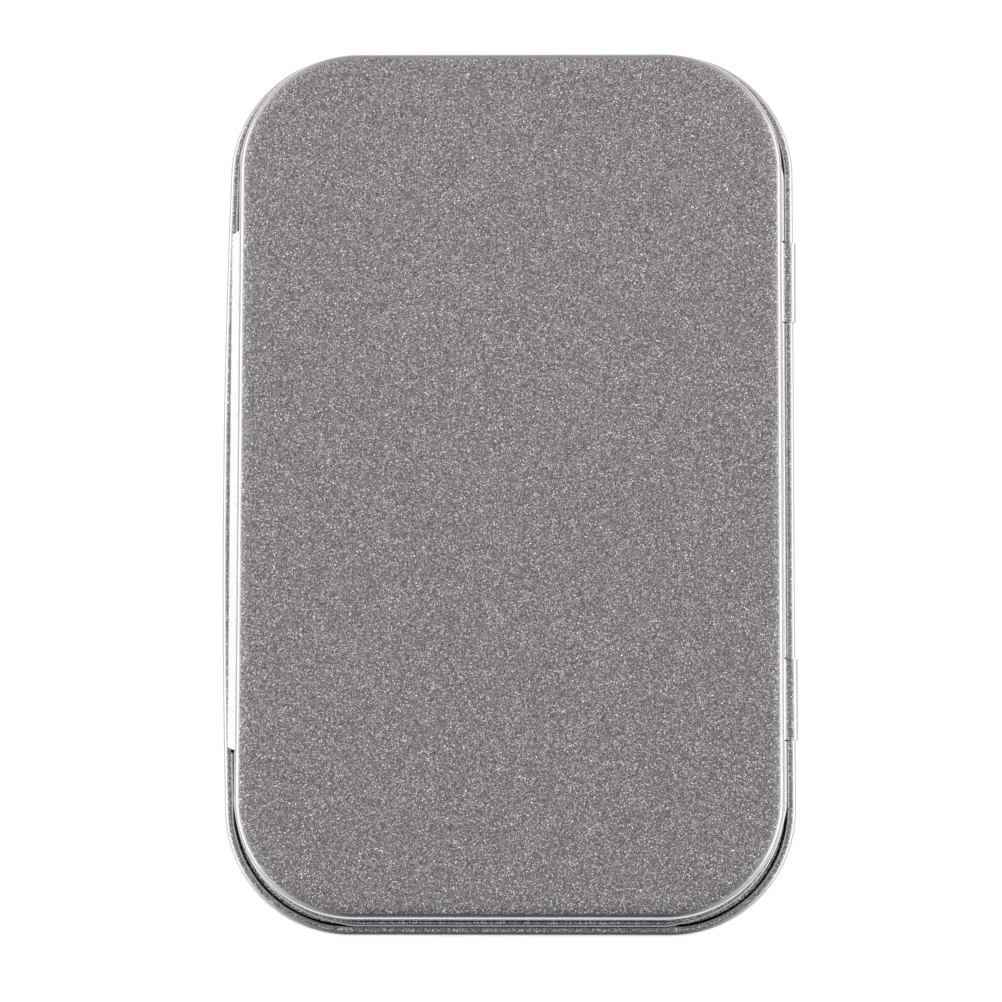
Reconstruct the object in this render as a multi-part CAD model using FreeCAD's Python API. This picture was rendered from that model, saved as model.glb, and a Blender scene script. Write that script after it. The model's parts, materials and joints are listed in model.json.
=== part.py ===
import FreeCAD, Part
import math
import os

V = FreeCAD.Vector

# Small hinged tin, in millimetres. X runs along the hinge, the hinge is at +Y and the finger lip
# at -Y, and Z is up. The origin is under the middle of the flat bottom.

# The closed tin
length = 94.0             # over the ridge
width = 60.0              # over the ridge, without the bow and the hinge tabs
height = 21.0
sheet = 0.23              # thickness of the tinplate
flat_depth = 0.04         # of the flats that a bend round the corners is drawn in

# The ridge round the base, which is also the hinge bar
ridge_height = 12.9       # middle of the ridge, and hinge axis
ridge_radius = 0.60
ridge_corner = 13.3       # plan radius at the crest
ridge_reach = 1.4         # how far the crest stands out from the base's wall
ridge_under_slope = 25.0
ridge_inner_slope = 35.0
front_bow = 0.55          # how far the front of the ridge swells out

# The base below and above the ridge
floor_round = 2.0
wall_bend = 0.35
ledge_drop = 0.30         # ledge under the lid's edge, below the top of the ridge
ledge_bend = 0.20
neck_bend = 0.40
rim_curl = 0.40           # outer radius of the rolled rim
rim_curl_turn = 270.0
rim_headroom = 0.35       # between the rim and the top of the lid
swing_gap = 0.12          # between the rim and the lid's front edge as it swings past

# The lid
lid_step = 1.5            # crest of the ridge to the lid's wall
lid_corner = 12.5
lid_crown = 4.4           # radius by which the top falls away to its rounded edge
lid_crown_turn = 12.0
lid_edge_round = 0.8
lid_curl = 0.38           # outer radius of the curled lower edge
lid_curl_turn = 285.0
lid_rest_gap = 0.15       # between the curled edge and the ledge

# The finger lip on the lid's front edge
lip_length = 55.6         # at the wall
lip_reach = 1.25          # out from the lid's wall
lip_slope = 40.0
lip_bend = 0.50
lip_hem = 0.31            # outer radius of the turned edge
lip_hem_turn = 190.0
lip_gap = 0.10            # between the lip and the top of the ridge
lip_chamfer = 0.6
lip_root = 0.25           # straight wall above the flare

# The hinge tabs, curled round the bars
tab_width = 8.5
tab_spacing = 44.4
tab_gap = 0.05            # running clearance round the bar
tab_bend = 0.85
tab_turn = 250.0
tab_slit = 0.15           # beside each tab
tab_root = 0.25           # straight wall above the bend
bar_turn = 300.0
window_below = 1.3        # window's lower edge, below the hinge axis
window_behind = 0.3       # window's inner edge, inside the base's wall

half_sheet = sheet / 2
ridge_top = ridge_height + ridge_radius
ledge_top = ridge_top - ledge_drop
axis_y = width / 2 - ridge_radius

lid_half_length = length / 2 - lid_step
lid_half_width = width / 2 - lid_step
curl_height = ledge_top + lid_rest_gap + lid_curl

# The lid's front edge rises on a circle about the hinge, so it moves inward as it passes the rim
rim_top = height - sheet - rim_headroom
swing_radius = axis_y + lid_half_width - sheet
swing_in = ((rim_top - ridge_height) ** 2) / (2 * swing_radius)
rim_inset = sheet + swing_in + swing_gap
neck_inset = rim_inset + 2 * rim_curl - sheet


def cosine(degrees):
    return math.cos(math.radians(degrees))


def sine(degrees):
    return math.sin(math.radians(degrees))


def tangent(degrees):
    return math.tan(math.radians(degrees))


def flats(radius, turn):
    """Number of flats in a bend, so that each one's middle stays this near to the true arc."""
    widest = 2 * math.degrees(math.acos(1 - flat_depth / (radius + half_sheet)))
    return math.ceil(abs(turn) / widest)


def strip(start, heading, moves, in_flats=False):
    """Section of bent sheet, with outward as Y and up as Z.

    Its middle line starts at a point, with a heading in degrees from outward, and follows its
    moves: a run is (length,) and a bend is (radius, degrees), positive to the left. Bends are
    true arcs, or short flats with their corners on those arcs.
    """
    point = V(0, start[0], start[1])
    sides = {half_sheet: [], -half_sheet: []}

    def beside(offset):
        return point + V(0, -sine(heading), cosine(heading)) * offset

    caps = [Part.LineSegment(beside(half_sheet), beside(-half_sheet)).toShape()]
    for move in moves:
        if len(move) == 1:
            before = {side: beside(side) for side in sides}
            point = point + V(0, cosine(heading), sine(heading)) * move[0]
            for side in sides:
                sides[side].append(Part.LineSegment(before[side], beside(side)).toShape())
            continue
        radius, turn = move
        pieces = flats(radius, turn) if in_flats else 1
        centre = beside(math.copysign(radius, turn))
        middle = FreeCAD.Placement(V(), FreeCAD.Rotation(V(1, 0, 0), turn / pieces / 2), centre)
        for piece in range(pieces):
            before = {side: beside(side) for side in sides}
            point = middle.multVec(middle.multVec(point))
            heading = heading + turn / pieces
            for side in sides:
                if in_flats:
                    edge = Part.LineSegment(before[side], beside(side))
                else:
                    edge = Part.Arc(before[side], middle.multVec(before[side]), beside(side))
                sides[side].append(edge.toShape())
    caps.append(Part.LineSegment(beside(half_sheet), beside(-half_sheet)).toShape())
    edges = sides[half_sheet] + sides[-half_sheet] + caps
    return Part.Face(Part.Wire(Part.__sortEdges__(edges)))


def outline(half_length, half_width, corner, bow=0.0):
    """Moves round an outline from the middle of its back, clockwise seen from above.

    The corners and the bow stay tangent, and outlines that are parallel share one bow.
    """
    run = half_length - corner
    side = 2 * (half_width - corner)
    lean = 2 * math.degrees(math.atan(bow / run))
    front = (run / sine(lean) + corner, 2 * lean) if bow else (2 * run,)
    back_corner = (corner, 90.0)
    front_corner = (corner, 90.0 - lean)
    return [(run,), back_corner, (side,), front_corner, front, front_corner, (side,),
            back_corner, (run,)]


def steps(path, half_width):
    """Each move of a path, with the place where it starts and the step that it makes."""
    place = FreeCAD.Placement(V(0, half_width, 0), FreeCAD.Rotation())
    for move in path:
        if len(move) == 1:
            step = FreeCAD.Placement(V(move[0], 0, 0), FreeCAD.Rotation())
        else:
            turn = FreeCAD.Rotation(V(0, 0, -1), move[1])
            step = FreeCAD.Placement(V(), turn, V(0, -move[0], 0))
        yield move, place, step
        place = place.multiply(step)


def carry_round(section, path, half_width):
    """Solid of a section that is carried round an outline: runs are drawn, bends are turned."""
    pieces = []
    for move, place, step in steps(path, half_width):
        if len(move) == 1:
            piece = section.extrude(V(move[0], 0, 0))
        else:
            piece = section.revolve(V(0, -move[0], 0), V(0, 0, -1), move[1])
        piece.Placement = place
        pieces.append(piece)
    return pieces[0].multiFuse(pieces[1:])


def plate(path, half_width, low):
    """Flat sheet inside an outline, with its lower face at a height."""
    edges = []
    for move, place, step in steps(path, half_width):
        start = place.multVec(V(0, 0, 0))
        end = place.multiply(step).multVec(V(0, 0, 0))
        if len(move) == 1:
            edges.append(Part.LineSegment(start, end).toShape())
        else:
            radius, turn = move
            middle = place.multVec(V(radius * sine(turn / 2), -radius * (1 - cosine(turn / 2)), 0))
            edges.append(Part.Arc(start, middle, end).toShape())
    face = Part.Face(Part.Wire(edges))
    face.translate(V(0, 0, low))
    return face.extrude(V(0, 0, sheet))


def base_outline(offset):
    """Outline parallel to the base's wall, with the ridge's bow."""
    inset = ridge_reach - offset
    return outline(length / 2 - inset, width / 2 - inset, ridge_corner - inset, front_bow)


def lid_outline(offset):
    """Outline parallel to the lid's wall, which is straight at the front."""
    return outline(lid_half_length + offset, lid_half_width + offset, lid_corner + offset)


def tray_wall():
    """Bottom edge, wall and ridge, and the distance from the wall at which they meet the ledge."""
    ridge_line = ridge_radius - half_sheet
    ridge_out = ridge_reach - ridge_radius
    ledge_middle = ledge_top - half_sheet

    under_out = ridge_out + ridge_line * sine(ridge_under_slope)
    under_up = ridge_height - ridge_line * cosine(ridge_under_slope)
    corner_up = under_up - (under_out + half_sheet) * tangent(ridge_under_slope)
    bend_turn = 90.0 - ridge_under_slope
    bend_cut = wall_bend * tangent(bend_turn / 2)
    wall_run = corner_up - bend_cut - floor_round
    under_run = (under_out + half_sheet) / cosine(ridge_under_slope) - bend_cut

    slope_out = ridge_out - ridge_line * sine(ridge_inner_slope)
    slope_up = ridge_height + ridge_line * cosine(ridge_inner_slope)
    slope_cut = ledge_bend * tangent(ridge_inner_slope / 2)
    slope_run = (slope_up - ledge_middle) / sine(ridge_inner_slope) - slope_cut
    ledge_out = slope_out - (slope_up - ledge_middle) / tangent(ridge_inner_slope) - slope_cut

    moves = [
        (floor_round - half_sheet, 90.0),
        (wall_run,),
        (wall_bend, -bend_turn),
        (under_run,),
        (ridge_line, 90.0 - ridge_under_slope),
        (ridge_line, 90.0 + ridge_inner_slope),
        (slope_run,),
        (ledge_bend, -ridge_inner_slope),
    ]
    section = strip((-floor_round, half_sheet), 0.0, moves, in_flats=True)
    return carry_round(section, base_outline(0), width / 2 - ridge_reach), ledge_out


def neck():
    """Neck inside the lid, with its rolled rim, and its distance from the lid's wall."""
    start_up = ledge_top - half_sheet
    rim_line = rim_curl - half_sheet
    moves = [
        (neck_bend, -90.0),
        (rim_top - rim_curl - start_up - neck_bend,),
        (rim_line, -rim_curl_turn),
    ]
    start_out = neck_bend - half_sheet
    section = strip((start_out, start_up), 180.0, moves, in_flats=True)
    path = lid_outline(-neck_inset)
    return carry_round(section, path, lid_half_width - neck_inset), start_out - neck_inset


def hinge_places():
    return [-tab_spacing / 2, tab_spacing / 2]


def along_hinge(section, middle, long):
    """Section drawn along the hinge, centred on a place."""
    piece = section.extrude(V(long, 0, 0))
    piece.translate(V(middle - long / 2, 0, 0))
    return piece


def hinge_window(middle):
    """Hole punched through the back of the base, for one tab."""
    long = tab_width + 2 * tab_slit
    inner = width / 2 - ridge_reach - sheet - window_behind
    low = ridge_height - window_below
    deep = width / 2 + ridge_radius - inner
    tall = ledge_top + lid_rest_gap - low
    return Part.makeBox(long, deep, tall, V(middle - long / 2, inner, low))


def hinge_bar(middle):
    """Ridge rolled up across one window, which the tab turns on."""
    bar_line = ridge_radius - half_sheet
    start = -bar_turn / 2
    place = (axis_y + bar_line * cosine(start), ridge_height + bar_line * sine(start))
    section = strip(place, start + 90.0, [(bar_line, bar_turn)])
    return along_hinge(section, middle, tab_width + 2 * tab_slit)


def tin_base():
    walls, ledge_out = tray_wall()
    inside, neck_out = neck()
    floor = plate(base_outline(-floor_round), width / 2 - ridge_reach - floor_round, 0)
    ledge_low = ledge_top - sheet
    ledge = plate(base_outline(ledge_out), width / 2 - ridge_reach + ledge_out, ledge_low)
    hole = plate(lid_outline(neck_out), lid_half_width + neck_out, ledge_low)
    shell = walls.multiFuse([floor, ledge.cut(hole), inside])
    windows = [hinge_window(middle) for middle in hinge_places()]
    bars = [hinge_bar(middle) for middle in hinge_places()]
    return shell.cut(windows).multiFuse(bars)


def lid_shell():
    """Top, rounded edge, wall and curled lower edge."""
    crown_line = lid_crown - half_sheet
    edge_line = lid_edge_round - half_sheet
    edge_inset = crown_line * sine(lid_crown_turn) + edge_line * (1 - sine(lid_crown_turn)) + half_sheet
    edge_drop = crown_line * (1 - cosine(lid_crown_turn)) + edge_line * cosine(lid_crown_turn) + half_sheet
    moves = [
        (crown_line, -lid_crown_turn),
        (edge_line, lid_crown_turn - 90.0),
        (height - edge_drop - curl_height,),
        (lid_curl - half_sheet, lid_curl_turn),
    ]
    section = strip((-edge_inset, height - half_sheet), 0.0, moves, in_flats=True)
    walls = carry_round(section, lid_outline(0), lid_half_width)
    top = plate(lid_outline(-edge_inset), lid_half_width - edge_inset, height - sheet)
    return walls.fuse(top)


def finger_lip():
    """Flared front edge, with a turned hem, and the height at which it joins the wall."""
    hem_line = lip_hem - half_sheet
    hem_out = lip_reach - lip_hem
    hem_up = ridge_top + lip_gap + lip_hem
    flare_out = hem_out + hem_line * sine(lip_slope)
    flare_up = hem_up + hem_line * cosine(lip_slope)
    corner_up = flare_up + (flare_out + half_sheet) * tangent(lip_slope)
    bend_turn = 90.0 - lip_slope
    bend_cut = lip_bend * tangent(bend_turn / 2)
    join = corner_up + bend_cut + lip_root
    moves = [
        (lip_root,),
        (lip_bend, bend_turn),
        ((flare_out + half_sheet) / cosine(lip_slope) - bend_cut,),
        (hem_line, -lip_hem_turn),
    ]
    section = strip((-half_sheet, join), -90.0, moves)
    lip = along_hinge(section, 0, lip_length)
    lip.rotate(V(), V(0, 0, 1), 180)
    lip.translate(V(0, -lid_half_width, 0))
    for end in (-1, 1):
        corner = V(end * lip_length / 2, -lid_half_width - lip_reach, 0)
        triangle = Part.makePolygon([corner, corner + V(-end * lip_chamfer, 0, 0),
                                     corner + V(0, lip_chamfer, 0), corner])
        lip = lip.cut(Part.Face(triangle).extrude(V(0, 0, height)))
    return lip, join


def hinge_tab(middle):
    """Tab curled round one hinge bar, and the height at which it joins the wall."""
    wrap_line = ridge_radius + tab_gap + half_sheet
    wall_line = lid_half_width - half_sheet
    join = ridge_height + wrap_line + tab_bend + tab_root
    moves = [
        (tab_root,),
        (tab_bend, 90.0),
        (axis_y - wall_line - tab_bend,),
        (wrap_line, -tab_turn),
    ]
    section = strip((wall_line, join), -90.0, moves)
    return along_hinge(section, middle, tab_width), join


def edge_cut(low_x, high_x, back, top):
    """Room cut out of the lid's wall and curl, on the back or the front, below a height."""
    deep = lid_curl * 2 + sheet
    near = lid_half_width - 2 * sheet
    low = curl_height - 2 * lid_curl
    corner = V(low_x, near if back else -near - deep, low)
    return Part.makeBox(high_x - low_x, deep, top - low, corner)


def tin_lid():
    lip, lip_join = finger_lip()
    lip_half = lip_length / 2 - lip_chamfer
    cuts = [edge_cut(-lip_half, lip_half, False, lip_join)]
    added = [lip]
    for middle in hinge_places():
        tab, tab_join = hinge_tab(middle)
        half = tab_width / 2 + tab_slit
        cuts.append(edge_cut(middle - half, middle + half, True, tab_join))
        added.append(tab)
    return lid_shell().cut(cuts).multiFuse(added)


def main():
    os.makedirs("parts", exist_ok=True)
    pieces = {"tin_base": tin_base(), "tin_lid": tin_lid()}
    for name, shape in pieces.items():
        shape = shape.removeSplitter()
        shape.exportStep(os.path.join("parts", name + ".step"))
        box = shape.BoundBox
        print(name, "solids", len(shape.Solids), "valid", shape.isValid(),
              "volume %.1f" % shape.Volume,
              "box %.2f %.2f %.2f" % (box.XLength, box.YLength, box.ZLength))


main()
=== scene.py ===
import json
import math
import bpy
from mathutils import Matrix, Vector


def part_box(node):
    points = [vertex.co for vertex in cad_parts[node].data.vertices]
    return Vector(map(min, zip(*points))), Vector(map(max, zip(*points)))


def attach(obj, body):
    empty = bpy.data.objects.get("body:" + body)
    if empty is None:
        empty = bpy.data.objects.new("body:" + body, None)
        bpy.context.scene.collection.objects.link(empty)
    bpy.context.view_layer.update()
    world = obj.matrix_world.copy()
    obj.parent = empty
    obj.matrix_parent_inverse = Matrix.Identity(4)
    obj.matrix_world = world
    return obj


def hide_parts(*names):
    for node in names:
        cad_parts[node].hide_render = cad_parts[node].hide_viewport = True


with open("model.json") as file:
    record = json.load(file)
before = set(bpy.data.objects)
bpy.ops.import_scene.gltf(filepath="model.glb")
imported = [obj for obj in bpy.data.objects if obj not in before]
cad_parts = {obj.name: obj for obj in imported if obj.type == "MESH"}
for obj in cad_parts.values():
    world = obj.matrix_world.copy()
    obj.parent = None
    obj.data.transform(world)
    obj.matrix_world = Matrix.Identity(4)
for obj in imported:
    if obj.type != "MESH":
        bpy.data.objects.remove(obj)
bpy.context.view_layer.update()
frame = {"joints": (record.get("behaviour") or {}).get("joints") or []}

from types import SimpleNamespace

import bmesh
import bpy
from bpy.props import FloatProperty, FloatVectorProperty, PointerProperty
from bpy.types import Operator, Panel, PropertyGroup
from mathutils import Matrix, Vector

bl_info = {
    "name": "Hinged Metal Tin",
    "version": (1, 0, 0),
    "blender": (4, 5, 0),
    "location": "3D View > Sidebar > Tin",
    "description": "A flat hinged tin pressed from two sheets of tinplate, and its studio",
    "category": "Add Mesh",
}

# Sizes in the panel are in metres, and meshes are built in millimetres and then scaled down.
MM = 0.001
QUARTER = math.radians(90)
HALF = math.radians(180)
BEND_STEP = math.radians(9)       # of an arc in a section of the sheet
CORNER_STEPS = 30                 # round a corner seen from above
CROWN_STEPS = 4                   # across the part of the lid's top that falls away
BOW_STEPS = 5                     # along half of the front, which swells out
SHARP_ANGLE = math.radians(38)    # edges that turn more than this stay crisp
TIGHTENED_BY = math.radians(12)   # into a corner, where the lid's curl reaches its tightest
FLOOR_INSETS = (0.6, 3.0, 8.0)    # rings of corners in the base's floor, from its edge
LID_INSETS = (0.4, 2.0, 6.0, 10.0)    # and in the lid's top

# Light and dark tones of the grain: partly painted glints and painted shade on the facets, partly
# tone that differs at random.
DARK_UP_TO = 0.20        # share of the grain that has the dark tone
LIGHT_FROM = 0.70        # and the share past which it has the light tone
# Faces that face up less than this get the pale tone, a painted sheen besides the die's burnish;
# steep walls count here as bent too.
BENT_LEVEL = 0.90        # upward part of a face's direction where the sheet counts as bent
FLAT_LEVEL = 0.99        # and where it counts as flat
BENT_GRAIN = 0.12        # share of the grain that is left where the sheet is bent

PAPER_GLOW = 0.60        # the paper's own white in the picture, besides the light that falls on it
# Past the pool, the paper's glow that the metal mirrors fades: a painted pool of light round the
# tin.
ENDS_GLOW = 0.0          # share of it that metal shows of the paper far past the tin's ends
SIDES_GLOW = 0.2         # and of the paper far to its front and back
FLOOR_HALF = 4.0         # metres
FLOOR_GAP = 0.02 * MM    # below the tin
SKY_WARM = -0.35         # how far along a unit sky the warm end's colour ends
SKY_COOL = 0.42          # and where the cool end's colour starts
SIDE_FALL = 1.5          # how fast the white of the sides falls off
SENSOR = 36.0            # width in millimetres, as Blender's cameras have it
CAMERA_NEAR = 10 * MM    # nearest that the camera sees

MIX_LOW, MIX_HIGH, MIX_RESULT = 6, 7, 2    # colour sockets of a mix node

base_low, base_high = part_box("tin_base")
lid_low, lid_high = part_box("tin_lid")
hinge_axis = Vector(frame["joints"][0]["pos_m"])


def size(name, description, millimetres):
    """A length that a user can change."""
    return FloatProperty(name=name, description=description, default=millimetres * MM,
                         unit="LENGTH", precision=5)


def angle(name, description, degrees):
    """An angle that a user can change."""
    return FloatProperty(name=name, description=description, default=math.radians(degrees),
                         subtype="ANGLE", unit="ROTATION")


def linear(code):
    """Linear colour from an sRGB hex value."""
    parts = [int(code[place:place + 2], 16) / 255 for place in (1, 3, 5)]
    return [part / 12.92 if part <= 0.04045 else ((part + 0.055) / 1.055) ** 2.4
            for part in parts]


def colour(name, description, code):
    """A colour that a user can change."""
    return FloatVectorProperty(name=name, description=description, default=linear(code),
                               subtype="COLOR", size=3, min=0.0, max=1.0)


class TinSheet(PropertyGroup):
    """The closed tin and its sheet"""
    length: size("Length", "Over the ridge", (base_high.x - base_low.x) / MM)
    width: size("Width", "Over the ridge, without its bow", 2 * base_high.y / MM)
    height: size("Height", "Of the closed tin", lid_high.z / MM)
    sheet: size("Sheet", "Thickness of the tinplate", 0.23)
    ridge_height: size("Ridge height", "Of the ridge's middle and the hinge axis",
                       hinge_axis.z / MM)
    ridge_radius: size("Ridge radius", "Of the ridge's rounded crest",
                       (base_high.y - hinge_axis.y) / MM)
    ledge_drop: size("Ledge drop", "Ledge below the top of the ridge", 0.30)
    lid_step: size("Lid step", "From the crest of the ridge in to the lid's wall", 1.5)
    lid_corner: size("Lid corner", "Radius of the lid's corners", 12.5)
    tab_width: size("Tab width", "Of each hinge tab", 8.5)
    tab_spacing: size("Tab spacing", "Between the middles of the hinge tabs", 44.4)
    tab_slit: size("Tab slit", "Cut beside each hinge tab", 0.15)


class TinBase(PropertyGroup):
    """The tray, its ridge and its rolled rim"""
    ridge_corner: size("Ridge corner", "Radius of the ridge's corners", 13.3)
    ridge_reach: size("Ridge reach", "Of the crest out from the wall", 1.4)
    front_bow: size("Front bow", "How far the front of the ridge swells out",
                    -(base_low.y + base_high.y) / MM)
    under_slope: angle("Slope under the ridge", "From level", 25.0)
    inner_slope: angle("Slope inside the ridge", "From level", 35.0)
    floor_round: size("Floor round", "Outer radius of the bottom edge", 2.0)
    wall_bend: size("Wall bend", "From the wall out to the ridge", 0.35)
    ledge_bend: size("Ledge bend", "From the ridge in to the ledge", 0.20)
    neck_bend: size("Neck bend", "From the ledge up to the neck", 0.40)
    rim_curl: size("Rim curl", "Outer radius of the rolled rim", 0.40)
    rim_turn: angle("Rim turn", "How far the rim is rolled", 270.0)
    rim_headroom: size("Rim headroom", "Between the rim and the top of the lid", 0.35)
    swing_gap: size("Swing gap", "Left for the lid's front edge as it swings past", 0.12)
    bar_turn: angle("Bar turn", "How far each hinge bar is rolled", 300.0)
    window_below: size("Window below", "Lower edge of a hinge window, below the axis", 1.3)
    window_behind: size("Window behind", "Inner edge of a hinge window, inside the wall", 0.3)


class TinLid(PropertyGroup):
    """The lid, its curled edge, finger lip and hinge tabs"""
    crown: size("Crown", "Radius by which the top falls away to its rounded edge", 4.4)
    crown_turn: angle("Crown turn", "How far the top falls away", 12.0)
    edge_round: size("Edge round", "Outer radius of the top edge", 0.8)
    curl: size("Curl", "Outer radius of the curled lower edge", 0.38)
    curl_turn: angle("Curl turn", "How far the lower edge is curled", 285.0)
    corner_curl: size("Corner curl", "Outer radius of the curled edge round the corners", 0.27)
    corner_lift: size("Corner lift", "How far the curled edge rises round the corners", 0.30)
    rest_gap: size("Rest gap", "Between the curled edge and the ledge", 0.15)
    lip_length: size("Lip length", "Of the finger lip along the wall", 55.6)
    lip_reach: size("Lip reach", "Of the finger lip out from the wall", 1.25)
    lip_slope: angle("Lip slope", "Down from level", 40.0)
    lip_bend: size("Lip bend", "From the wall out to the lip", 0.50)
    lip_hem: size("Lip hem", "Outer radius of the lip's turned edge", 0.31)
    lip_turn: angle("Lip turn", "How far the lip's edge is turned under", 190.0)
    lip_gap: size("Lip gap", "Between the lip and the top of the ridge", 0.10)
    lip_chamfer: size("Lip chamfer", "Cut off the ends of the lip", 0.6)
    lip_slit: size("Lip slit", "Cut beside the lip", 0.05)
    root: size("Root", "Straight wall above the lip's and the tabs' bends", 0.25)
    tab_gap: size("Tab gap", "Running clearance round the hinge bar", 0.05)
    tab_bend: size("Tab bend", "From the wall out to the hinge bar", 0.85)
    tab_turn: angle("Tab turn", "How far each tab is curled round its bar", 250.0)


class TinFinish(PropertyGroup):
    """Satin tinplate"""
    # Painted glint: the light grain tone stands in for facet tops that catch the light.
    light: colour("Light grain", "Tops of the grain, which catch the light", "#f2f0f0")
    # Pale tone on bent and steep faces: partly the die's burnish, partly a painted sheen for the
    # white surroundings they mirror.
    smooth: colour("Burnished sheet", "Where the sheet is bent", "#e7e5e5")
    # Painted shade: the dark grain tone stands in for the grain's hollows in shade.
    dark: colour("Dark grain", "Hollows of the grain", "#8f8d8d")
    grain: size("Grain", "Across one grain of the satin finish", 0.085)
    lean: angle("Lean", "How far the faces of the grain lean at most", 30.0)
    roughness: FloatProperty(name="Roughness", description="Of the satin finish",
                             default=0.17, min=0.0, max=1.0, subtype="FACTOR")
    burnished: FloatProperty(name="Burnished roughness", description="Where the sheet is bent",
                             default=0.13, min=0.0, max=1.0, subtype="FACTOR")


class TinStudio(PropertyGroup):
    """Floor, lamps, surroundings and camera"""
    floor: colour("Floor", "Matt white paper", "#f6f6f6")
    sides: colour("Sides", "White surroundings to the front and back of the tin", "#ffffff")
    warm_end: colour("Warm end", "Surroundings above the tin and past its left end", "#9d9599")
    cool_end: colour("Cool end", "Dark surroundings past the tin's right end", "#4e4e58")
    sky_light: FloatProperty(name="Sky light", description="Strength of the surroundings",
                             default=1.15, min=0.0)
    # Half sizes of a painted pool of light: the paper glows in the metal's reflections out to
    # here.
    pool_long: size("Pool length", "Half of the brightly lit paper, along the tin", 55.0)
    pool_wide: size("Pool width", "Half of the brightly lit paper, across the tin", 34.0)
    lamp_long: size("Lamp length", "Of each soft lamp, along the tin", 600.0)
    lamp_tall: size("Lamp height", "Of each soft lamp", 200.0)
    lamp_away: size("Lamp distance", "Of each soft lamp from the tin", 420.0)
    lamp_power: FloatProperty(name="Lamp power", description="Of each soft lamp",
                              default=0.15, min=0.0, unit="POWER")
    lens: FloatProperty(name="Lens", description="Focal length for a 36 mm sensor",
                        default=171.56, unit="CAMERA")
    camera_at: FloatVectorProperty(name="Camera place", description="Above the tin", size=3,
                                   default=(0.06410, 0.00829, 0.51425), subtype="TRANSLATION",
                                   unit="LENGTH")
    camera_turn: FloatVectorProperty(name="Camera turn", description="Looking down at the lid",
                                     size=3, subtype="EULER", unit="ROTATION",
                                     default=[math.radians(turn)
                                              for turn in (7.164, 1.051, 90.131)])


class TinSettings(PropertyGroup):
    """Everything that a user can change"""
    sheet: PointerProperty(type=TinSheet)
    base: PointerProperty(type=TinBase)
    lid: PointerProperty(type=TinLid)
    finish: PointerProperty(type=TinFinish)
    studio: PointerProperty(type=TinStudio)


def in_millimetres(*groups):
    """Sizes of some groups in millimetres, with their angles as they are."""
    sizes = SimpleNamespace()
    for group in groups:
        for name, setting in group.bl_rna.properties.items():
            if setting.type == "FLOAT" and setting.unit == "LENGTH":
                setattr(sizes, name, getattr(group, name) / MM)
            elif setting.type == "FLOAT":
                setattr(sizes, name, getattr(group, name))
    sizes.half_sheet = sizes.sheet / 2
    sizes.ridge_top = sizes.ridge_height + sizes.ridge_radius
    sizes.ledge_middle = sizes.ridge_top - sizes.ledge_drop - sizes.half_sheet
    sizes.axis_y = sizes.width / 2 - sizes.ridge_radius
    sizes.lid_half_length = sizes.length / 2 - sizes.lid_step
    sizes.lid_half_width = sizes.width / 2 - sizes.lid_step
    return sizes


def run(length, stops=()):
    """Straight steps of a path, from each stop to the next and on to the end."""
    places = [0.0, *stops, length]
    return [(after - before, 0.0) for before, after in zip(places, places[1:])]


def bend(radius, turn, count=None):
    """Steps of a path along an arc, positive to the left."""
    count = count or math.ceil(abs(turn) / BEND_STEP)
    return [(2 * radius * math.sin(abs(turn) / count / 2), turn / count)] * count


def bowed(span, turn, corner, stops):
    """Steps of a path along a very flat arc between two corners, which it is tangent to.

    It is cut where a straight run between the corners would have its stops.
    """
    if not turn:
        return run(span, stops)
    radius = span / 2 / math.sin(abs(turn) / 2) + corner
    return [(2 * radius * math.sin(abs(turn) * length / span / 2), turn * length / span)
            for length, straight in run(span, stops)]


def walk(start, heading, path):
    """Places along a path of (chord, turn) steps, each with the heading there."""
    place = Vector(start)
    places = [(place, heading)]
    for chord, turn in path:
        middle = heading + turn / 2
        place = place + chord * Vector((math.cos(middle), math.sin(middle)))
        heading = heading + turn
        places.append((place, heading))
    return places


def section(start, heading, path):
    """Middle line of bent sheet: places as (outward, up)."""
    return [tuple(place) for place, heading in walk(start, heading, path)]


def stations(half_length, half_width, corner, bow, back_stops, front_stops):
    """Places round an outline, clockwise from the middle of its back, with their headings."""
    half_run = half_length - corner
    side = 2 * (half_width - corner)
    lean = 2 * math.atan(bow / half_run)
    front = [half_run - stop for stop in reversed(front_stops)]
    front += [half_run + stop for stop in front_stops]
    back_corner = bend(corner, -QUARTER, CORNER_STEPS)
    front_corner = bend(corner, lean - QUARTER, CORNER_STEPS)
    path = run(half_run, back_stops) + back_corner + run(side) + front_corner
    path += bowed(2 * half_run, -2 * lean, corner, front) + front_corner + run(side) + back_corner
    path += run(half_run, [half_run - stop for stop in reversed(back_stops)])
    return walk((0.0, half_width), 0.0, path)[:-1]


def hinge_stops(s, edges):
    """Distances from the middle of the back at which the sheet is cut or punched."""
    return [s.tab_spacing / 2 + side * edge for side, edge in
            [(-1, edge) for edge in sorted(edges, reverse=True)] + [(1, edge) for edge in edges]]


def spans(places, middle, half_width, back):
    """Numbers of the steps round an outline that lie within a stretch of its back or front."""
    found = []
    for number, (place, heading) in enumerate(places):
        centre = (place + places[(number + 1) % len(places)][0]) / 2
        if (centre.y > 0) == back and abs(centre.x - middle) < half_width:
            found.append(number)
    return found


def lay(mesh, places, levels):
    """Corners of a sheet: a row at each place round the outline, a corner at each level."""
    rows = []
    for place, heading in places:
        outward = Vector((-math.sin(heading), math.cos(heading)))
        rows.append([mesh.verts.new((*(place + out * outward), up)) for out, up in levels])
    return rows


def skin(mesh, rows, holes=()):
    """Faces between rows of corners, but for holes given as (steps round, first, last level)."""
    for number, row in enumerate(rows):
        beside = rows[(number + 1) % len(rows)]
        for level in range(len(row) - 1):
            if any(number in steps and first <= level < last for steps, first, last in holes):
                continue
            mesh.faces.new((row[level], beside[level], beside[level + 1], row[level + 1]))


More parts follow.
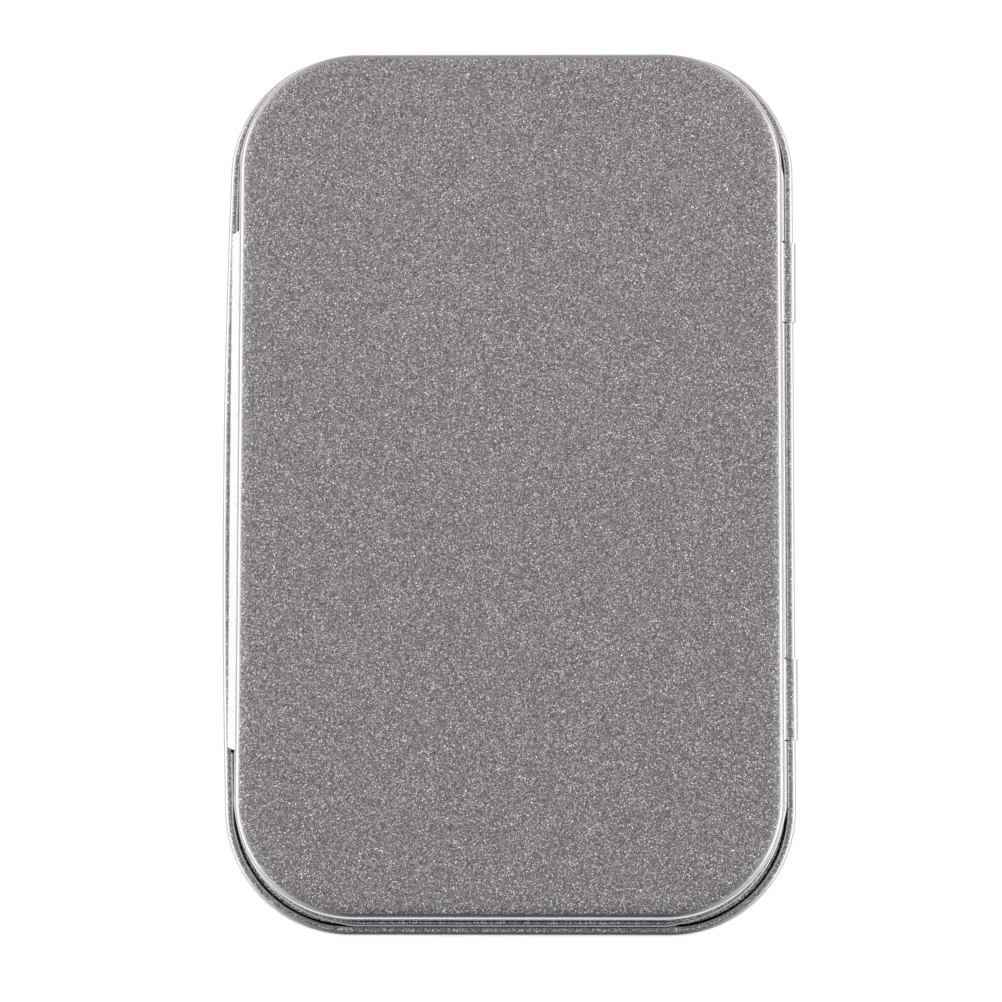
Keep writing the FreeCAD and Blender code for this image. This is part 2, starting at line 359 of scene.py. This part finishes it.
def grow(mesh, rows, root, places, steps, levels):
    """Sheet that grows on from one level of the rows, along some of the steps round."""
    corners = {}
    for step in steps:
        for number in (step, (step + 1) % len(rows)):
            if number not in corners:
                corners[number] = [rows[number][root]] + lay(mesh, [places[number]], levels)[0]
        row, beside = corners[step], corners[(step + 1) % len(rows)]
        for level in range(len(levels)):
            mesh.faces.new((row[level], beside[level], beside[level + 1], row[level + 1]))
    return corners


def plate_levels(edge, up, insets):
    """Levels of a flat plate, from inside out to its edge."""
    return [(edge - inset, up) for inset in reversed(insets)]


def tray_levels(s):
    """Section of the base from the floor's edge to the ledge, and its four cut levels."""
    ridge_line = s.ridge_radius - s.half_sheet
    ridge_out = s.ridge_reach - s.ridge_radius
    under_out = ridge_out + ridge_line * math.sin(s.under_slope)
    under_up = s.ridge_height - ridge_line * math.cos(s.under_slope)
    corner_up = under_up - (under_out + s.half_sheet) * math.tan(s.under_slope)
    bend_turn = QUARTER - s.under_slope
    bend_cut = s.wall_bend * math.tan(bend_turn / 2)
    wall_run = corner_up - bend_cut - s.floor_round
    under_run = (under_out + s.half_sheet) / math.cos(s.under_slope) - bend_cut
    window_low = s.ridge_height - s.window_below - s.floor_round

    slope_out = ridge_out - ridge_line * math.sin(s.inner_slope)
    slope_up = s.ridge_height + ridge_line * math.cos(s.inner_slope)
    slope_cut = s.ledge_bend * math.tan(s.inner_slope / 2)
    drop = slope_up - s.ledge_middle
    slope_run = drop / math.sin(s.inner_slope) - slope_cut
    ledge_out = slope_out - drop / math.tan(s.inner_slope) - slope_cut

    path = bend(s.floor_round - s.half_sheet, QUARTER) + run(window_low)
    cuts = [len(path)]
    path += run(wall_run - window_low) + bend(s.wall_bend, -bend_turn) + run(under_run)
    cuts.append(len(path))
    path += bend(ridge_line, HALF + s.inner_slope - s.under_slope)
    cuts.append(len(path))
    path += run(slope_run) + bend(s.ledge_bend, -s.inner_slope)
    path += run(ledge_out + s.sheet + s.window_behind)
    cuts.append(len(path))
    return section((-s.floor_round, s.half_sheet), 0.0, path), cuts


def neck_levels(s):
    """Section of the neck and its rolled rim, as distances from the lid's wall."""
    rim_top = s.height - s.sheet - s.rim_headroom
    swing_radius = s.axis_y + s.lid_half_width - s.sheet
    swing_in = (rim_top - s.ridge_height) ** 2 / (2 * swing_radius)
    neck_inset = swing_in + s.swing_gap + 2 * s.rim_curl
    start = (s.neck_bend - s.half_sheet - neck_inset, s.ledge_middle)
    path = bend(s.neck_bend, -QUARTER)
    path += run(rim_top - s.rim_curl - s.ledge_middle - s.neck_bend)
    path += bend(s.rim_curl - s.half_sheet, -s.rim_turn)
    return section(start, HALF, path)


def bar_levels(s, start, turn):
    """Section of a hinge bar from one of the ridge's edges on, after the edge itself."""
    line = s.ridge_radius - s.half_sheet
    out = s.ridge_reach - s.ridge_radius
    place = (out + line * math.cos(start), s.ridge_height + line * math.sin(start))
    return section(place, start + math.copysign(QUARTER, turn), bend(line, turn))[1:]


def make_base_mesh(s):
    """Middle of the base's sheet, in millimetres."""
    window_half = s.tab_width / 2 + s.tab_slit
    back_stops = hinge_stops(s, [window_half])
    front_stops = [s.lip_length / 2 * step / BOW_STEPS for step in range(1, BOW_STEPS + 1)]
    wall_half_length = s.length / 2 - s.ridge_reach
    wall_half_width = s.width / 2 - s.ridge_reach
    wall = stations(wall_half_length, wall_half_width, s.ridge_corner - s.ridge_reach,
                    s.front_bow, back_stops, front_stops)
    lid_wall = stations(s.lid_half_length, s.lid_half_width, s.lid_corner, 0.0, back_stops,
                        front_stops)

    floor = plate_levels(-s.floor_round, s.half_sheet, FLOOR_INSETS)
    tray, cuts = tray_levels(s)
    window_low, ridge_low, ridge_high, window_high = [len(floor) + cut for cut in cuts]
    mesh = bmesh.new()
    outer = lay(mesh, wall, floor + tray)
    inner = lay(mesh, lid_wall, neck_levels(s))
    rows = [low + high for low, high in zip(outer, inner)]

    steps = []
    for middle in (-s.tab_spacing / 2, s.tab_spacing / 2):
        steps += spans(wall, middle, window_half, True)
    skin(mesh, rows, [(steps, window_low, ridge_low), (steps, ridge_high, window_high)])
    mesh.faces.new([row[0] for row in rows])
    low_edge = s.under_slope - QUARTER
    high_edge = s.inner_slope + QUARTER
    grow(mesh, rows, ridge_low, wall, steps, bar_levels(s, low_edge, -s.bar_turn / 2 - low_edge))
    grow(mesh, rows, ridge_high, wall, steps, bar_levels(s, high_edge, s.bar_turn / 2 - high_edge))
    return mesh


def lip_levels(s):
    """Section of the finger lip below its root, and the height of the root."""
    hem_line = s.lip_hem - s.half_sheet
    flare_out = s.lip_reach - s.lip_hem + hem_line * math.sin(s.lip_slope)
    flare_up = s.ridge_top + s.lip_gap + s.lip_hem + hem_line * math.cos(s.lip_slope)
    corner_up = flare_up + (flare_out + s.half_sheet) * math.tan(s.lip_slope)
    bend_turn = QUARTER - s.lip_slope
    bend_cut = s.lip_bend * math.tan(bend_turn / 2)
    join = corner_up + bend_cut + s.root
    path = run(s.root) + bend(s.lip_bend, bend_turn)
    path += run((flare_out + s.half_sheet) / math.cos(s.lip_slope) - bend_cut)
    path += bend(hem_line, -s.lip_turn)
    return section((-s.half_sheet, join), -QUARTER, path)[1:], join


def tab_levels(s):
    """Section of a hinge tab below its root, and the height of the root."""
    wrap_line = s.ridge_radius + s.tab_gap + s.half_sheet
    wall_line = s.lid_half_width - s.half_sheet
    join = s.ridge_height + wrap_line + s.tab_bend + s.root
    path = run(s.root) + bend(s.tab_bend, QUARTER) + run(s.axis_y - wall_line - s.tab_bend)
    path += bend(wrap_line, -s.tab_turn)
    return section((-s.half_sheet, join), -QUARTER, path)[1:], join


def chamfer_lip(s, corners):
    """Draws the ends of the lip in, towards its turned edge."""
    full = s.lip_length / 2 - s.lip_slit
    start = s.lid_half_width + s.lip_reach - s.lip_chamfer
    for corner in (corner for row in corners.values() for corner in row):
        limit = full - max(0.0, -corner.co.y - start)
        corner.co.x = max(-limit, min(limit, corner.co.x))


def eased(part):
    """Rises from 0 to 1 with the part, and levels off at both."""
    return part * part * (3 - 2 * part)


def tighten_corners(s, places, corners, low):
    """Draws the curled edge in and up round the corners, where the sheet curls tighter."""
    tightest = (s.corner_curl - s.half_sheet) / (s.curl - s.half_sheet)
    for number, row in corners.items():
        place, heading = places[number]
        turned = abs((heading + QUARTER / 2) % QUARTER - QUARTER / 2)
        share = eased(min(1.0, turned / TIGHTENED_BY))
        keep = 1 - (1 - tightest) * share
        outward = Vector((-math.sin(heading), math.cos(heading)))
        for corner in row[1:]:
            out = (corner.co.xy - place).dot(outward) + s.half_sheet
            corner.co.xy = corner.co.xy - (1 - keep) * out * outward
            corner.co.z = low + keep * (corner.co.z - low) + s.corner_lift * share


def make_lid_mesh(s):
    """Middle of the lid's sheet, in millimetres."""
    tab_half = s.tab_width / 2
    lip_half = s.lip_length / 2
    back_stops = hinge_stops(s, [tab_half, tab_half + s.tab_slit])
    front_stops = [lip_half - s.lip_slit, lip_half]
    wall = stations(s.lid_half_length, s.lid_half_width, s.lid_corner, 0.0, back_stops,
                    front_stops)
    lip, lip_join = lip_levels(s)
    tab, tab_join = tab_levels(s)
    curl_up = s.ridge_top - s.ledge_drop + s.rest_gap + s.curl

    crown_line = s.crown - s.half_sheet
    edge_line = s.edge_round - s.half_sheet
    lean_in = math.sin(s.crown_turn)
    edge_inset = crown_line * lean_in + edge_line * (1 - lean_in) + s.half_sheet
    wall_top = s.height - s.half_sheet - crown_line * (1 - math.cos(s.crown_turn))
    wall_top -= edge_line * math.cos(s.crown_turn)
    top = plate_levels(-edge_inset, s.height - s.half_sheet, LID_INSETS)
    path = bend(crown_line, -s.crown_turn, CROWN_STEPS)
    path += bend(edge_line, s.crown_turn - QUARTER)
    path += run(wall_top - tab_join, [wall_top - lip_join])
    body = section((-edge_inset, s.height - s.half_sheet), 0.0, path)
    path = run(tab_join - curl_up) + bend(s.curl - s.half_sheet, s.curl_turn)
    curl = section((-s.half_sheet, tab_join), -QUARTER, path)[1:]

    mesh = bmesh.new()
    rows = lay(mesh, wall, top + body)
    tab_root = len(top + body) - 1
    lip_root = tab_root - 1
    lip_steps = spans(wall, 0.0, lip_half - s.lip_slit, False)
    cut_steps = spans(wall, 0.0, lip_half, False)
    tab_steps = []
    free_steps = list(cut_steps)
    for middle in (-s.tab_spacing / 2, s.tab_spacing / 2):
        tab_steps += spans(wall, middle, tab_half, True)
        free_steps += spans(wall, middle, tab_half + s.tab_slit, True)
    skin(mesh, rows, [(cut_steps, lip_root, tab_root)])
    mesh.faces.new([row[0] for row in rows])
    grow(mesh, rows, tab_root, wall, tab_steps, tab)
    chamfer_lip(s, grow(mesh, rows, lip_root, wall, lip_steps, lip))
    curl_steps = [step for step in range(len(wall)) if step not in free_steps]
    curled = grow(mesh, rows, tab_root, wall, curl_steps, curl)
    tighten_corners(s, wall, curled, curl_up - s.curl + s.half_sheet)
    return mesh


def pressed_piece(name, mesh, sheet):
    """Object with a sheet's thickness, from the middle of the sheet in millimetres."""
    loose = [corner for corner in mesh.verts if not corner.link_faces]
    bmesh.ops.delete(mesh, geom=loose, context="VERTS")
    bmesh.ops.recalc_face_normals(mesh, faces=mesh.faces)
    middle = bpy.data.meshes.new(name)
    mesh.to_mesh(middle)
    mesh.free()
    piece = bpy.data.objects.new(name, middle)
    bpy.context.collection.objects.link(piece)
    thicken = piece.modifiers.new("Sheet", "SOLIDIFY")
    thicken.thickness = sheet
    thicken.offset = 0.0
    thicken.use_even_offset = True
    thicken.use_quality_normals = True
    bpy.context.view_layer.update()
    shown = piece.evaluated_get(bpy.context.evaluated_depsgraph_get())
    whole = bpy.data.meshes.new_from_object(shown)
    piece.modifiers.clear()
    piece.data = whole
    bpy.data.meshes.remove(middle)
    whole.name = name
    whole.transform(Matrix.Scale(MM, 4))
    whole.polygons.foreach_set("use_smooth", [True] * len(whole.polygons))
    whole.set_sharp_from_angle(angle=SHARP_ANGLE)
    return piece


def add(tree, kind, settings=None, inputs=None):
    """Adds a shader node, with its settings, and with inputs as values or as (node, output)."""
    node = tree.nodes.new(kind)
    for name, value in (settings or {}).items():
        setattr(node, name, value)
    for name, value in (inputs or {}).items():
        if isinstance(value, tuple) and isinstance(value[0], bpy.types.Node):
            tree.links.new(value[0].outputs[value[1]], node.inputs[name])
        else:
            node.inputs[name].default_value = value
    return node


def blend(tree, part, low, high):
    """Adds a mix of two colours, each given as a colour or as (node, output)."""
    mix = tree.nodes.new("ShaderNodeMix")
    mix.data_type = "RGBA"
    tree.links.new(part[0].outputs[part[1]], mix.inputs["Factor"])
    for place, value in ((MIX_LOW, low), (MIX_HIGH, high)):
        if isinstance(value, tuple):
            tree.links.new(value[0].outputs[value[1]], mix.inputs[place])
        else:
            mix.inputs[place].default_value = (*value, 1.0)
    return mix, MIX_RESULT


def new_material(name):
    """Empty node material and its tree."""
    material = bpy.data.materials.new(name)
    material.use_nodes = True
    material.node_tree.nodes.clear()
    return material, material.node_tree


def satin_tinplate(finish):
    """Tinplate blasted to a satin finish, and burnished by the die where it is bent.

    Tin over steel, faintly warm. The blasted grain is small facets that lean every way, most of
    them a little and a few of them far. The eye sees a soft grey sheen with fine bright and dark
    sparks; their light and dark tones are partly painted glints and painted shade on the facets.
    A bend or a steep wall is smoother, and mirrors its surroundings as soft stripes; it is also
    painted paler, partly the die's burnish and partly a painted sheen for the white it mirrors.
    The real grain is too fine to show, so it is drawn as coarse as it needs to be seen.
    """
    if "satin_tinplate" in bpy.data.materials:
        return bpy.data.materials["satin_tinplate"]
    material, tree = new_material("satin_tinplate")
    place = add(tree, "ShaderNodeTexCoord")
    grain = add(tree, "ShaderNodeTexVoronoi", {"voronoi_dimensions": "3D", "feature": "F1"}, {
        "Vector": (place, "Object"), "Scale": 1 / finish.grain})
    parts = add(tree, "ShaderNodeSeparateColor", {}, {"Color": (grain, "Color")})
    # Light and dark cells of the grain, at random: partly painted glints and painted shade.
    grain_and_glint_tone = add(tree, "ShaderNodeValToRGB", {}, {"Fac": (parts, "Red")})
    grain_and_glint_tone.color_ramp.elements[0].position = DARK_UP_TO
    grain_and_glint_tone.color_ramp.elements[0].color = (*finish.dark, 1.0)
    grain_and_glint_tone.color_ramp.elements[1].position = LIGHT_FROM
    grain_and_glint_tone.color_ramp.elements[1].color = (*finish.light, 1.0)
    either = add(tree, "ShaderNodeVectorMath", {"operation": "MULTIPLY_ADD"}, {
        0: (grain, "Color"), 1: (2.0, 2.0, 2.0), 2: (-1.0, -1.0, -1.0)})
    most = add(tree, "ShaderNodeVectorMath", {"operation": "MULTIPLY"}, {
        0: (either, "Vector"), 1: (either, "Vector")})
    few = add(tree, "ShaderNodeVectorMath", {"operation": "MULTIPLY"}, {
        0: (most, "Vector"), 1: (either, "Vector")})
    facing_up = add(tree, "ShaderNodeSeparateXYZ", {}, {"Vector": (place, "Normal")})
    level = add(tree, "ShaderNodeMath", {"operation": "ABSOLUTE"}, {0: (facing_up, "Z")})
    flat = add(tree, "ShaderNodeMapRange", {"interpolation_type": "SMOOTHSTEP"}, {
        "Value": (level, "Value"), "From Min": BENT_LEVEL, "From Max": FLAT_LEVEL})
    steep = add(tree, "ShaderNodeMapRange", {}, {
        "Value": (flat, "Result"), "To Min": BENT_GRAIN * math.tan(finish.lean),
        "To Max": math.tan(finish.lean)})
    rough = add(tree, "ShaderNodeMapRange", {}, {
        "Value": (flat, "Result"), "To Min": finish.burnished, "To Max": finish.roughness})
    # Bent and steep faces get the pale tone, a painted sheen besides the burnish; level faces get
    # the grain's tone.
    tone = blend(tree, (flat, "Result"), finish.smooth, (grain_and_glint_tone, "Color"))
    leaning = add(tree, "ShaderNodeVectorMath", {"operation": "SCALE"}, {
        0: (few, "Vector"), "Scale": (steep, "Result")})
    facing = add(tree, "ShaderNodeNewGeometry")
    face = add(tree, "ShaderNodeVectorMath", {"operation": "ADD"}, {
        0: (facing, "Normal"), 1: (leaning, "Vector")})
    turned = add(tree, "ShaderNodeVectorMath", {"operation": "NORMALIZE"}, {0: (face, "Vector")})
    metal = add(tree, "ShaderNodeBsdfPrincipled", {}, {
        "Base Color": tone, "Metallic": 1.0, "Roughness": (rough, "Result"),
        "Normal": (turned, "Vector")})
    add(tree, "ShaderNodeOutputMaterial", {}, {"Surface": (metal, "BSDF")})
    return material


def white_paper(studio):
    """Matt white background paper, which shows as white and keeps a soft shadow.

    Metal mirrors a painted pool of light: the paper glows for glossy rays near the tin, and
    less further off.
    """
    material, tree = new_material("white_paper")
    paper = add(tree, "ShaderNodeBsdfDiffuse", {}, {"Color": (*studio.floor, 1.0)})
    light = add(tree, "ShaderNodeLightPath")
    place = add(tree, "ShaderNodeTexCoord")
    parts = add(tree, "ShaderNodeSeparateXYZ", {}, {"Vector": (place, "Object")})
    # Painted pool of light: the paper glows for glossy rays near the tin, and less further off.
    pool = (light, "Is Glossy Ray")
    for direction, reach, rest in (("X", studio.pool_long, ENDS_GLOW),
                                   ("Y", studio.pool_wide, SIDES_GLOW)):
        away = add(tree, "ShaderNodeMath", {"operation": "ABSOLUTE"}, {0: (parts, direction)})
        fade = add(tree, "ShaderNodeMapRange", {"interpolation_type": "SMOOTHSTEP"}, {
            "Value": (away, "Value"), "From Min": reach, "From Max": 2 * reach,
            "To Min": 1.0, "To Max": rest})
        faded = add(tree, "ShaderNodeMath", {"operation": "MULTIPLY"}, {
            0: pool, 1: (fade, "Result")})
        pool = (faded, "Value")
    seen = add(tree, "ShaderNodeMath", {"operation": "MAXIMUM"}, {
        0: (light, "Is Camera Ray"), 1: pool})
    also = add(tree, "ShaderNodeMath", {"operation": "MAXIMUM"}, {
        0: (seen, "Value"), 1: (light, "Is Transmission Ray")})
    part = add(tree, "ShaderNodeMath", {"operation": "MULTIPLY"}, {
        0: (also, "Value"), 1: PAPER_GLOW})
    glow = add(tree, "ShaderNodeEmission", {}, {
        "Color": (1.0, 1.0, 1.0, 1.0), "Strength": (part, "Value")})
    both = add(tree, "ShaderNodeAddShader", {}, {0: (paper, "BSDF"), 1: (glow, "Emission")})
    add(tree, "ShaderNodeOutputMaterial", {}, {"Surface": (both, "Shader")})
    return material


def make_surroundings(studio):
    """Sky that is white to the front and back of the tin, and grey above it and past its ends."""
    world = bpy.data.worlds.new("studio")
    world.use_nodes = True
    tree = world.node_tree
    tree.nodes.clear()
    place = add(tree, "ShaderNodeTexCoord")
    parts = add(tree, "ShaderNodeSeparateXYZ", {}, {"Vector": (place, "Generated")})
    along = add(tree, "ShaderNodeMapRange", {"interpolation_type": "SMOOTHSTEP"}, {
        "Value": (parts, "X"), "From Min": SKY_WARM, "From Max": SKY_COOL})
    sky = blend(tree, (along, "Result"), studio.warm_end, studio.cool_end)
    aside = add(tree, "ShaderNodeMath", {"operation": "ABSOLUTE"}, {0: (parts, "Y")})
    bright = add(tree, "ShaderNodeMath", {"operation": "POWER"}, {
        0: (aside, "Value"), 1: SIDE_FALL})
    whole = blend(tree, (bright, "Value"), sky, studio.sides)
    back = add(tree, "ShaderNodeBackground", {}, {"Color": whole, "Strength": studio.sky_light})
    add(tree, "ShaderNodeOutputWorld", {}, {"Surface": (back, "Background")})
    bpy.context.scene.world = world


def make_lamp(name, side, studio):
    """Large soft lamp beside the tin, standing on the floor."""
    lamp = bpy.data.lights.new(name, "AREA")
    lamp.shape = "RECTANGLE"
    lamp.size = studio.lamp_long
    lamp.size_y = studio.lamp_tall
    lamp.energy = studio.lamp_power
    holder = bpy.data.objects.new(name, lamp)
    holder.location = (0.0, side * studio.lamp_away, studio.lamp_tall / 2)
    holder.rotation_euler = (-side * QUARTER, 0.0, 0.0)
    holder.visible_camera = False
    bpy.context.collection.objects.link(holder)


def make_floor(studio):
    """Paper that the tin lies on."""
    corners = [(x * FLOOR_HALF, y * FLOOR_HALF, -FLOOR_GAP)
               for x, y in ((-1, -1), (1, -1), (1, 1), (-1, 1))]
    sheet = bpy.data.meshes.new("floor")
    sheet.from_pydata(corners, [], [(0, 1, 2, 3)])
    sheet.materials.append(white_paper(studio))
    floor = bpy.data.objects.new("floor", sheet)
    bpy.context.collection.objects.link(floor)


def make_camera(studio):
    """Camera almost straight above the lid."""
    camera = bpy.data.objects.new("camera", bpy.data.cameras.new("camera"))
    camera.data.lens = studio.lens
    camera.data.sensor_width = SENSOR
    camera.data.clip_start = CAMERA_NEAR
    camera.location = studio.camera_at
    camera.rotation_euler = studio.camera_turn
    bpy.context.collection.objects.link(camera)
    bpy.context.scene.camera = camera


def place_piece(piece, body, node, finish):
    """Gives a piece its finish, and lets it stand for a node of the frame."""
    piece.data.materials.append(satin_tinplate(finish))
    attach(piece, body)
    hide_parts(node)


class TIN_OT_base(Operator):
    """Presses the base: tray, ridge, hinge bars, neck and rolled rim"""
    bl_idname = "tin.base"
    bl_label = "Base"

    def execute(self, context):
        settings = context.scene.tin
        s = in_millimetres(settings.sheet, settings.base, settings.lid)
        piece = pressed_piece("base_pressing", make_base_mesh(s), s.sheet)
        place_piece(piece, "base", "tin_base", settings.finish)
        return {"FINISHED"}


class TIN_OT_lid(Operator):
    """Presses the lid: top, wall, curled edge, finger lip and hinge tabs"""
    bl_idname = "tin.lid"
    bl_label = "Lid"

    def execute(self, context):
        settings = context.scene.tin
        s = in_millimetres(settings.sheet, settings.lid)
        piece = pressed_piece("lid_pressing", make_lid_mesh(s), s.sheet)
        place_piece(piece, "lid", "tin_lid", settings.finish)
        return {"FINISHED"}


class TIN_OT_stage(Operator):
    """Sets up the floor, the surroundings, two soft lamps and the camera"""
    bl_idname = "tin.stage"
    bl_label = "Stage"

    def execute(self, context):
        studio = context.scene.tin.studio
        make_floor(studio)
        make_surroundings(studio)
        make_lamp("lamp_hinge_side", 1, studio)
        make_lamp("lamp_lip_side", -1, studio)
        make_camera(studio)
        context.scene.view_settings.view_transform = "Standard"
        return {"FINISHED"}


class TIN_PT_main(Panel):
    """Lists the pieces, the stage and their settings"""
    bl_label = "Hinged Tin"
    bl_idname = "TIN_PT_main"
    bl_space_type = "VIEW_3D"
    bl_region_type = "UI"
    bl_category = "Tin"

    def draw(self, context):
        for step in STEPS:
            self.layout.operator(step.bl_idname)
        settings = context.scene.tin
        for group in (settings.sheet, settings.base, settings.lid, settings.finish,
                      settings.studio):
            box = self.layout.box()
            box.label(text=group.bl_rna.description)
            for name, setting in group.bl_rna.properties.items():
                if setting.type == "FLOAT":
                    box.prop(group, name)


STEPS = (TIN_OT_base, TIN_OT_lid, TIN_OT_stage)
CLASSES = (TinSheet, TinBase, TinLid, TinFinish, TinStudio, TinSettings, *STEPS, TIN_PT_main)


def register():
    for kind in CLASSES:
        bpy.utils.register_class(kind)
    bpy.types.Scene.tin = PointerProperty(type=TinSettings)


def unregister():
    del bpy.types.Scene.tin
    for kind in reversed(CLASSES):
        bpy.utils.unregister_class(kind)


def main():
    register()
    bpy.ops.tin.stage()
    bpy.ops.tin.base()
    bpy.ops.tin.lid()


if __name__ == "__main__":
    main()
